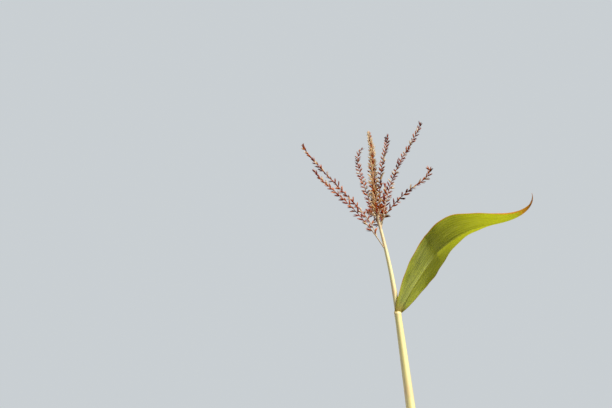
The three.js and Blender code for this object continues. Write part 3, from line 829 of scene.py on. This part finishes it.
def scattered(name, feet, ahead, sizes, tints, seed):
    """Copies the spikelet to each foot, pointing ahead, as one mesh with a finish for each copy."""
    count = len(feet)
    ahead = ahead / np.linalg.norm(ahead, axis=1)[:, None]
    first = np.cross(np.where(np.abs(ahead[:, 2:]) < 0.9, [[0, 0, 1.0]], [[1.0, 0, 0]]), ahead)
    first = first / np.linalg.norm(first, axis=1)[:, None]
    second = np.cross(ahead, first)
    turn = 2 * np.pi * seeded(seed + 1.37 * np.arange(count))[:, None]
    right = first * np.cos(turn) + second * np.sin(turn)
    left = second * np.cos(turn) - first * np.sin(turn)
    local = spikelet_corners[None] * np.asarray(sizes)[:, None, None]
    corners = feet[:, None] + local[..., :1] * right[:, None]
    corners = corners + local[..., 1:2] * left[:, None] + local[..., 2:] * ahead[:, None]
    step = len(spikelet_corners)
    faces = [tuple(c + step * i for c in face) for i in range(count) for face in spikelet_faces]
    choice = np.repeat(np.asarray(tints, int), len(spikelet_faces))
    return from_arrays(name, corners.reshape(-1, 3), faces, GLUMES, choice)


def dealt(count, seed, weights):
    """A finish for each of many spikelets, in the given proportions."""
    marks = np.cumsum(weights) / np.sum(weights)
    return np.searchsorted(marks, seeded(seed + 0.731 * np.arange(count))).clip(0, len(weights) - 1)


# %% [markdown]
# Eight branches leave the stalk's neck and the foot of the spike. Each has its own height, heading and
# arch, and one forks off another. A branch is a thin twig, straw at its foot and russet further out, that
# gives way a little at each pair of spikelets.

# %% The twigs of the tassel
BRANCH_MEASURES = ("height", "azimuth", "rise", "end_rise", "power", "sweep", "hook", "length")
TASSEL_BRANCHES = {
    "lower_left": (1.777, 200, 61, 18, 1.12, 10, 38, 0.266),
    "left_fork": (None, 177, 91, 13, 0.58, 60, 0, 0.320),
    "inner_left": (1.875, 172, 77, 91, 1.81, -13, 44, 0.261),
    "inner_right": (1.868, -45, 83, 61, 1.96, 13, 27, 0.279),
    "upper_right": (1.840, -1, 78, 40, 1.56, -31, 30, 0.379),
    "lower_right": (1.848, -32, 65, 9, 0.63, 3, 102, 0.202),
    "back_right": (1.852, 66, 48, 82, 0.82, -15, 0, 0.234),
    "back_left": (1.836, 110, 80, 37, 0.69, -24, 0, 0.170),
}
FORK_AT = 0.125  # where the left fork leaves the lower left branch, as a share of that branch
PAIR_SPACING = 0.0070
TWIG_RADIUS, TWIG_TIP_RADIUS = 0.0015, 0.0006


def branch_length(name):
    return TASSEL_BRANCHES[name][-1]


def branch_path(name):
    branch = dict(zip(BRANCH_MEASURES, TASSEL_BRANCHES[name]))
    height = branch.pop("height")
    if height is None:
        start = branch_path("lower_left")(FORK_AT)[0]
    else:
        out = (spike_radius(height) if height > NECK_HEIGHT else stalk_radius(height)) - 0.0002
        start = round_axis(height, math.radians(branch["azimuth"]), out)
    return arch(start, **branch)


def twig_path(name):
    path_at = branch_path(name)
    pairs = branch_length(name) / PAIR_SPACING

    def at(share):
        point, along, side, above = path_at(share)
        return point + side * (0.0003 * np.sin(np.pi * pairs * share))[:, None], along, side, above

    return at


def twig_finish(name, straw_to, russet_from):
    """Dry, dull and grooved lengthwise: straw where it leaves the stalk, and russet where it has dried.

    Six grooves go round it, 1.6 mm apart at its foot.
    """
    material, tree = new_material(name)
    uv = add(tree, "UVMap", uv_map="UVMap")
    share = add(tree, "SeparateXYZ", {0: uv}).outputs["Y"]
    drawn = add(tree, "Mapping", {"Vector": uv, "Scale": (6, 30, 1)})
    grooves = add(tree, "TexNoise", {"Vector": drawn, "Scale": 1.0, "Detail": 3.0})
    russet = add(tree, "Mix", {"Factor": grooves, "A": "#b5622f", "B": "#5c2612"}, data_type="RGBA")
    tint = layered(tree, "#c3ac86", (russet, share, (straw_to, russet_from, 0.0, 1.0)))
    end_in_tissue(tree, tint, tint, 0.0, grooves, 0.0003, 0.6, 0.35)
    return material


def twig_radius(share):
    return mix(TWIG_RADIUS, TWIG_TIP_RADIUS, share**0.6)


dry_twig = twig_finish("dry tassel twig", 0.08, 0.34)
for branch in TASSEL_BRANCHES:
    name = "tassel_branch_" + branch
    twig = limb(name + "_twig", twig_path(branch), twig_radius, 8, 120)
    dressed(twig, "tassel_branch", dry_twig, name)

# %% [markdown]
# Along a branch the spikelets sit in pairs, on one flank and then on the other: one close to the twig,
# and one on a short stalk that leans further out. Towards the tip they lie along the twig and cover it.

# %% The spikelets of the branches
def branch_spikelets(name, seed):
    bare = 0.15 if name == "lower_left" else 0.05
    pairs = round(branch_length(name) * (1 - bare) / PAIR_SPACING)
    index = np.repeat(np.arange(pairs), 2)
    second = np.tile([0, 1], pairs)
    flank = np.where(index % 2 == 0, 1.0, -1.0)
    share = mix(bare, 0.985, ((index + 0.25 * second) / pairs) ** 0.85)
    point, along, side, above = branch_path(name)(share)
    roll = np.radians(100 * (seeded(seed + 2 * index + second) - 0.5))[:, None]
    lean = mix(48, 24, share**1.3) + 20 * (seeded(seed + 3 * index + second + 7) - 0.5)
    lean = np.radians(lean + 8 * second * (1 - share))[:, None]
    outward = above * flank[:, None] * np.cos(roll) + side * np.sin(roll)
    ahead = along * np.cos(lean) + outward * np.sin(lean)
    feet = point + outward * (0.0006 + 0.0010 * second * (1 - share))[:, None]
    sizes = mix(0.78, 1.08, seeded(seed + 5 * index + second + 3)) * mix(1.0, 0.90, share)
    return feet, ahead, sizes


for number, branch in enumerate(TASSEL_BRANCHES):
    feet, ahead, sizes = branch_spikelets(branch, 300 + 40 * number)
    tints = dealt(len(feet), 50 + number, [0.13, 0.38, 0.37, 0.12])
    piece = scattered(f"tassel_branch_{branch}_spikelets", feet, ahead, sizes, tints, 11.0 * number)
    dressed(piece, "tassel_branch", None)

# %% [markdown]
# The spike carries its spikelets all round, so crowded that its axis hardly shows. They stand well out at
# its foot and lie close at its tip, which nods a little. They are dealt in whorls, each turned a little
# on the last. The outer ones are mostly straw. Between them sit smaller, mostly russet and umber ones close
# to the axis: painted shade, dark spikelets put in the gaps between the outer ones, where shade falls.

# %% The tassel's spike
NOD, NOD_LENGTH = 0.009, 0.09  # how far the tip leans, and over what length
WHORL_SPACING = 0.0062


def spike_at(height):
    leaning = -NOD * smooth(PLANT_HEIGHT - NOD_LENGTH, PLANT_HEIGHT, height)
    return axis_at(height) + np.stack([leaning, 0 * height, 0 * height], -1)


def upright(share):
    """The spike's axis, in the form of a path."""
    height = mix(NECK_HEIGHT + CLEARANCE, PLANT_HEIGHT - 0.001, share)
    still = np.zeros((len(height), 3))
    return spike_at(height), still + [0, 0, 1.0], still + [1.0, 0, 0], still + [0, 1.0, 0]


def spike_spikelets(whorl, lean_out, size, seed):
    """whorl is the number of spikelets that stand side by side in each whorl."""
    lowest, highest = NECK_HEIGHT + 0.046, PLANT_HEIGHT - 0.0145
    rows = round((highest - lowest) / WHORL_SPACING)
    row = np.repeat(np.arange(rows), whorl)
    number = np.tile(np.arange(whorl), rows)
    share = row / (rows - 1)
    around = 360 / whorl * number + 47 * row + 34 * (seeded(seed + 5 * row + number) - 0.5)
    around = np.radians(around)
    lean = mix(lean_out, 10, share**2) + 18 * (seeded(seed + 7 * row + number + 3) - 0.5)
    lean = np.radians(lean)[:, None]
    outward = np.stack([np.cos(around), np.sin(around), 0 * around], -1)
    height = mix(lowest, highest, share) + 0.003 * (seeded(seed + 3 * row + number + 9) - 0.5)
    feet = spike_at(height) + outward * (spike_radius(height) * 0.8 + 0.0008)[:, None]
    ahead = outward * np.sin(lean) + np.array([0, 0, 1.0]) * np.cos(lean)
    sizes = size * mix(0.85, 1.10, seeded(seed + 11 * row + number)) * mix(1.05, 0.80, share)
    return feet, ahead, sizes


# the axis keeps the dried twigs' russet, partly its own colour and partly painted shade in the gaps between
# the spikelets
russet_axis_and_painted_gap_shade = twig_finish("tassel spike axis with painted gap shade", 0.12, 0.30)
spike_axis = limb("tassel_spike_axis", upright, lambda s: mix(NECK_RADIUS, SPIKE_TIP_RADIUS, s), 16, 120)
dressed(spike_axis, "tassel_spike", russet_axis_and_painted_gap_shade, "tassel_spike")
# the inner spikelets, mostly russet and umber, are painted shade in the gaps between the outer ones
for part, whorl, lean_out, size, weights in (
    ("outer", 4, 62, 1.15, [0.84, 0.14, 0.02, 0.0]),
    ("inner", 3, 30, 0.70, [0.05, 0.20, 0.40, 0.35]),
):
    feet, ahead, sizes = spike_spikelets(whorl, lean_out, size, 13 * whorl)
    tints = dealt(len(feet), 900, weights)
    piece = scattered(f"tassel_spike_{part}_spikelets", feet, ahead, sizes, tints, 5.0)
    dressed(piece, "tassel_spike", None)

# %% [markdown]
# The ear stands in the axil of a middle leaf, on a short shank. Its husk is a roll of sheath-like leaves
# that overlap and taper to a beak, with the silk hanging out of it. Nine leaves are wrapped round a plain
# core, each a curved sheet with a drawn-out tip that stands off a little, because an egg shape alone
# would look like a bud.

# %% The ear
EAR_LENGTH, EAR_RADIUS, EAR_LIFT, EAR_RISE, EAR_SHANK = 0.215, 0.025, 0.022, 75, 0.026
HUSK_LEAVES = 9
HUSK_TURN = 0.382  # of a full turn, from one leaf to the next
HUSK_WRAP = 96  # how far each leaf reaches round each way, in degrees
HUSK_CORE = 0.93  # the radius of the core, as a share of the husk's


def ear_path():
    spec = LEAVES[EAR_LEAF]
    height = spec["collar"] + EAR_LIFT
    start = round_axis(height, math.radians(spec["azimuth"]), stalk_radius(height) + CLEARANCE)
    return arch(start, spec["azimuth"], 44, EAR_RISE, EAR_SHANK + EAR_LENGTH, power=0.3)


ear_at = ear_path()
husk_foot = (EAR_SHANK + CLEARANCE) / (EAR_SHANK + EAR_LENGTH)


def husk_radius(share):
    return EAR_RADIUS * np.sin(np.pi * mix(0.045, 0.965, share) ** 0.72) ** 0.75


def husk_path(share):
    return ear_at(mix(husk_foot, 1, share))


def shank_path(share):
    return ear_at(share * husk_foot * 0.99)


def husk_place(number):
    middle = 2 * np.pi * number * HUSK_TURN
    top = mix(0.80, 1.0, float(seeded(number + 400)))

    def place(across, share):
        along_ear = share * top
        turn = middle + across * math.radians(HUSK_WRAP) * np.clip(1 - share**4, 0.03, 1) ** 0.8
        radius = husk_radius(np.minimum(along_ear, 0.985)) * HUSK_CORE + 0.0004 + 0.00022 * number
        radius = radius + 0.0016 * share**8 + 0.00025 * np.cos(across * 30)
        return round_path(husk_path, along_ear, turn, radius)

    return place


core = limb("husk_core", husk_path, lambda s: husk_radius(s) * HUSK_CORE, 32, 60)
wraps = [sheet(f"husk_{number}", 32, 64, husk_place(number), 0.0005) for number in range(HUSK_LEAVES)]
dressed(joined("wrapped_husk", [core, *wraps]), "husk", husk_tissue, "ear_husk")
shank = limb("ear_foot", shank_path, lambda s: 0.0066 + 0.0004 * np.sin(40 * s), 24, 16)
dressed(shank, "husk", husk_tissue, "ear_shank")

# %% [markdown]
# Silk is a tuft of fine threads, brown and dry once the ear has set. They come out of the husk's beak in
# a few locks that fall over to the outer side and droop. Threads are hair thin in life, and are drawn 0.7
# mm thick so that they show. They are many and small, so they are worked out as arrays of corners, in one
# mesh.

# %% The silk
THREADS, LOCKS, THREAD_ROWS = 240, 8, 16
THREAD_RADIUS = 0.00035
LOCK_FAN = 250  # the angle over which the locks are spread round the beak, in degrees
BEAK = 0.004  # how far inside the husk the threads start, and how wide apart
BROWN_STRETCHES = 90.0  # in a metre, each about 11 mm long


def silk_finish():
    """Dry threads, dull brown with darker stretches, and a faint gloss."""
    material, tree = new_material("dry maize silk")
    place = add(tree, "TexCoord").outputs["Object"]
    noise = add(tree, "TexNoise", {"Vector": place, "Scale": BROWN_STRETCHES, "Detail": 2.0})
    tint = layered(tree, "#8f4f26", ("#35170c", noise, (0.35, 0.62, 0.0, 1.0)))
    end_in_tissue(tree, tint, tint, 0.0, noise, 0.0002, 0.45, 0.45)
    return material


def thread_corners(thread):
    """The rings of three corners along one thread."""
    tip, along, side, above = [value[0] for value in ear_at(np.array([1.0]))]
    chance = [float(seeded(thread * 1.9 + offset)) for offset in range(8)]
    lock = thread % LOCKS
    start = tip + BEAK * (side * (chance[0] - 0.5) + above * (chance[1] - 0.5) - along)
    heading = LEAVES[EAR_LEAF]["azimuth"] + LOCK_FAN * (lock / (LOCKS - 1) - 0.5) + 40 * (chance[2] - 0.5)
    rise, end_rise = mix(35, 86, chance[4]), mix(-90, -62, chance[5])
    length = mix(0.030, 0.072, chance[3] ** 1.5)
    power = mix(0.4, 1.1, chance[1])
    path_at = arch(start, heading, rise, end_rise, length, power=power, sweep=110 * (chance[6] - 0.5))
    share = np.linspace(0, 1, THREAD_ROWS)
    point, _, flank, up = path_at(share)
    point = point + flank * (0.0008 * share * np.sin(9 * share + 20 * chance[7]))[:, None]
    rings = []
    for turn in np.radians([0, 120, 240]):
        rings.append(point + THREAD_RADIUS * (flank * math.cos(turn) + up * math.sin(turn)))
    return np.stack(rings, 1).reshape(-1, 3)


def thread_faces(base):
    faces = [(base, base + 1, base + 2)]
    for low in range(base, base + 3 * (THREAD_ROWS - 1), 3):
        for side in range(3):
            after = (side + 1) % 3
            faces.append((low + side, low + 3 + side, low + 3 + after, low + after))
    last = base + 3 * (THREAD_ROWS - 1)
    return [*faces, (last + 2, last + 1, last)]


corners = np.vstack([thread_corners(thread) for thread in range(THREADS)])
faces = [face for thread in range(THREADS) for face in thread_faces(3 * THREAD_ROWS * thread)]
dressed(from_arrays("silk_threads", corners, faces, [silk_finish()]), "silk", None, "ear_silk")

# %% [markdown]
# Brace roots grow in whorls from the lowest joints and prop the stalk. They are woody and as thick as a
# thin pencil, brown above and grey with dust near the ground, where they stop. Each is a tapering limb
# along the frame's line, and a bisect cuts the whorl off flat at ground level.

# %% The brace roots
WHORLS = [
    dict(node="brace_roots_lower", height=BRACE_HEIGHTS[0], count=8, reach=0.062, radius=0.0026, turn=0),
    dict(node="brace_roots_upper", height=BRACE_HEIGHTS[1], count=7, reach=0.128, radius=0.0029, turn=20),
]
BLOTCHES = 60.0  # in a metre, each about 17 mm wide


def root_finish():
    """Corky skin: dull, finely cracked lengthwise, and dusted grey where it meets the ground.

    Some ten cracks go round a root, 1.6 mm apart.
    """
    material, tree = new_material("woody brace root")
    uv = add(tree, "UVMap", uv_map="UVMap")
    place = add(tree, "TexCoord").outputs["Object"]
    height = add(tree, "SeparateXYZ", {0: place}).outputs["Z"]
    drawn = add(tree, "Mapping", {"Vector": uv, "Scale": (7, 9, 1)})
    grain = add(tree, "TexNoise", {"Vector": drawn, "Scale": 1.5, "Detail": 5.0})
    blotches = add(tree, "TexNoise", {"Vector": place, "Scale": BLOTCHES, "Detail": 3.0})
    bark = add(tree, "Mix", {"Factor": blotches, "A": "#a98f4c", "B": "#6b4a28"}, data_type="RGBA")
    cracks = ("#4c3220", grain, (0.45, 0.65, 0.0, 0.6))
    dust = ("#8d8272", height, (0.004, 0.05, 0.8, 0.0))
    tint = layered(tree, bark, cracks, dust)
    end_in_tissue(tree, tint, tint, 0.0, grain, 0.0006, 0.72, 0.3)
    return material


def brace_root(whorl, number):
    chance = float(seeded(whorl["height"] * 1000 + number))
    azimuth = whorl["turn"] + 360 / whorl["count"] * number + 12 * (chance - 0.5)
    out = stalk_radius(whorl["height"]) + CLEARANCE - 0.001
    start = round_axis(whorl["height"] + 0.0045, math.radians(azimuth), out)
    path_at = arch(start, azimuth, -8, -82, whorl["reach"] + 0.003, power=0.8)
    thick = whorl["radius"]

    def radius_at(share):
        knots = 0.00006 * np.sin(37 * share + number)
        return mix(thick, thick * 0.75, share) + swell(share, 0.0009, 0, 0.07) + knots

    return limb(f"root_{number}", path_at, radius_at, 16, 40)


root_skin = root_finish()
for whorl in WHORLS:
    roots = [brace_root(whorl, number) for number in range(whorl["count"])]
    whole = joined(whorl["node"] + "_whorl", roots)
    bpy.ops.object.mode_set(mode="EDIT")
    bpy.ops.mesh.select_all(action="SELECT")
    cut = dict(plane_co=(0, 0, 0), plane_no=(0, 0, 1), threshold=SAME_PLACE)
    bpy.ops.mesh.bisect(**cut, clear_inner=True, use_fill=True)
    bpy.ops.object.mode_set(mode="OBJECT")
    dressed(whole, "brace_root", root_skin, whorl["node"])

# %% [markdown]
# The plant stands on a plain pale floor. The main lamp, soft and even over the whole height, shines from
# the front right and 48 degrees up: it lights the underside of the flag leaf's lower half, grazes its
# bend and shines through its upper half. A weak lamp, low on the left, keeps the far side of the plant
# from going black. The pale backdrop stands far off, as in a studio, and lights the plant only a little,
# so the world is pale where it is seen and dimmer where it lights.

# %% Floor and light
bpy.ops.object.select_all(action="DESELECT")
bpy.ops.mesh.primitive_plane_add(size=5, location=(0, 0, 0))
floor = bpy.context.object
floor.name = "pale_floor"
floor_paint, floor_tree = new_material("matt floor paint")
floor_shader = add(floor_tree, "BsdfPrincipled", {"Base Color": "#888783", "Roughness": 0.8})
add(floor_tree, "OutputMaterial", {"Surface": floor_shader})
floor.data.materials.append(floor_paint)
floor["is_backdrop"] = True


def soft_lamp(name, comes_from, energy, tint):
    """A lamp that shines from one direction, and looks 9 degrees wide, so that its shadows are soft."""
    lamp = bpy.data.objects.new(name, bpy.data.lights.new(name, "SUN"))
    lamp.data.energy = energy
    lamp.data.angle = math.radians(9)
    lamp.data.color = tint
    lamp.rotation_euler = (-Vector(comes_from)).to_track_quat("-Z", "Y").to_euler()
    bpy.context.collection.objects.link(lamp)
    print(name, "energy", energy)


soft_lamp("main_lamp", (0.43, -0.52, 0.74), 7.5, (1.0, 0.97, 0.91))
soft_lamp("side_lamp", (-0.90, 0.38, 0.22), 1.1, (1.0, 0.98, 0.95))

world = bpy.data.worlds.new("studio")
world.use_nodes = True
world.node_tree.nodes.clear()
seen = add(world.node_tree, "Background", {"Color": "#d3d9dd", "Strength": 0.9})
lighting = add(world.node_tree, "Background", {"Color": "#dfe6f0", "Strength": 0.14})
direct = add(world.node_tree, "LightPath").outputs["Is Camera Ray"]
both = add(world.node_tree, "MixShader", {0: direct, 1: lighting, 2: seen})
add(world.node_tree, "OutputWorld", {"Surface": both})
bpy.context.scene.world = world
bpy.context.scene.view_settings.view_transform = "Standard"

# %% [markdown]
# The camera stands close to the plant with a wide lens, 1.12 m above the ground, and looks steeply up.
# Its frame ends below the flag leaf's sheath, so only the top of the plant is in view.

# %% Camera
camera = bpy.data.objects.new("camera", bpy.data.cameras.new("camera"))
camera.data.lens = 28
camera.data.sensor_width = 36
camera.data.clip_start = 0.05
camera.location = (-0.201, -0.950, 1.119)
camera.rotation_euler = (math.radians(90 + 40), 0, 0)
bpy.context.collection.objects.link(camera)
bpy.context.scene.camera = camera
print("camera", camera.data.lens, "mm lens, at", [round(v, 3) for v in camera.location])

# %% [markdown]
# Last, the dressed plant and the frame are each measured, and both boxes are printed. It may not
# reach further than the solids do, apart from a small allowance.

# %% Sizes and finish
low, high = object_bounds()
sizes = {"cad": [list(cad_low), list(cad_high)], "visual": [list(low), list(high)]}
print("solids", [round(v, 3) for v in (*cad_low, *cad_high)])
print("dressed", [round(v, 3) for v in (*low, *high)])
